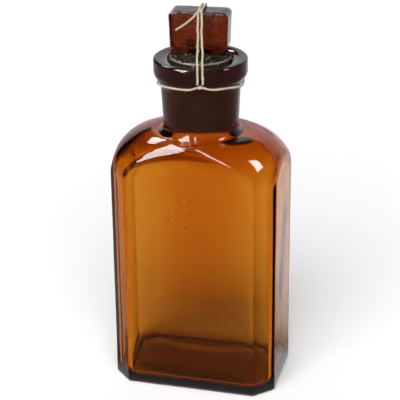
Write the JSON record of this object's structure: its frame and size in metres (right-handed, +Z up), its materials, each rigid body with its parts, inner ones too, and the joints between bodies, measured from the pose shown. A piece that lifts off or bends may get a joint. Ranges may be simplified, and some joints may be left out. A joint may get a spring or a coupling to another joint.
{
  "type": "bottle",
  "caption": "Flat rectangular bottle of amber glass with cut corners and a domed shoulder, closed by a ground glass stopper with an upright tablet grip that is tied down with string.",
  "frame": {"origin": "middle of the base, on the surface that the bottle stands on", "axes": "+Z up along the neck's axis, X across the wide faces, Y through the thickness with the front face at -Y"},
  "size_m": [0.09, 0.0582, 0.2096],
  "materials": {
    "bottle_glass": "clear amber, fire-polished outside, ground inside the neck",
    "stopper_glass": "dark red-brown, ground on the shank, polished on the tablet",
    "string": "undyed two-ply cotton twine"
  },
  "bodies": {
    "bottle": {"bottle": "bottle_glass", "neck_string": "string"},
    "stopper": {"stopper": "stopper_glass", "tie_string": "string"}
  },
  "joints": [
    {"name": "stopper_lift", "type": "slide", "parent": "bottle", "child": "stopper", "axis": [0, 0, 1], "range_m": [0, 0.04]}
  ]
}
